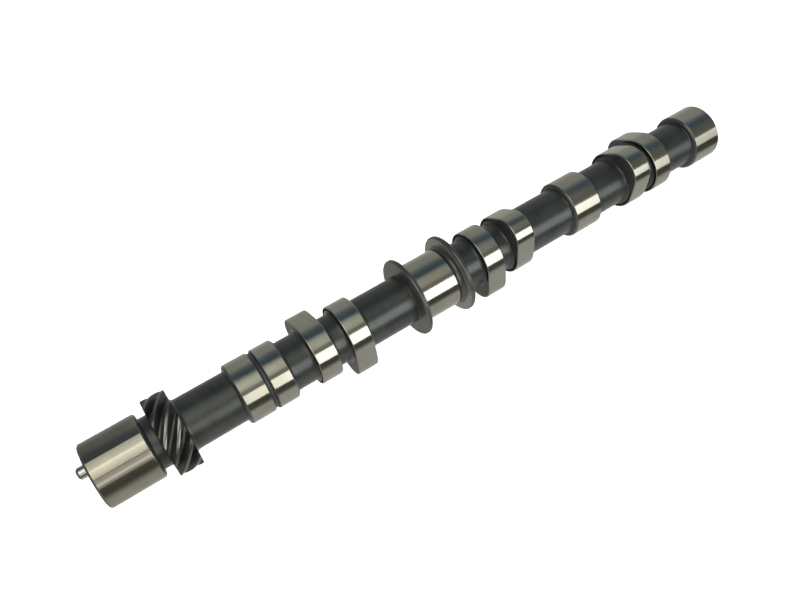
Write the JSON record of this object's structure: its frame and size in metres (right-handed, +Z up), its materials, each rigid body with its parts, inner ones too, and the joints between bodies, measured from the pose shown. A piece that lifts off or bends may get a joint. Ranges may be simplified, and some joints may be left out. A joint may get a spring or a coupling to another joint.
{
  "type": "camshaft",
  "caption": "One-piece cast overhead camshaft with plain bearing journals, phased cam lobes, a flanged thrust journal, a helical drive gear and a dowel for its sprocket.",
  "frame": {"origin": "on the shaft's axis, midway between the inner faces of the two thrust flanges", "axes": "+X along the axis from the sprocket end to the rear end; +Z up with the shaft lying on its flanges as it rests; +Y completes the frame"},
  "size_m": [0.3196, 0.0358, 0.0354],
  "materials": {
    "camshaft": "dark as-cast and blackened between ground journals, flanges and lobes",
    "dowel_pin": "ground"
  },
  "bodies": {
    "root": {"camshaft": "camshaft", "dowel_pin": "dowel_pin"}
  },
  "joints": []
}
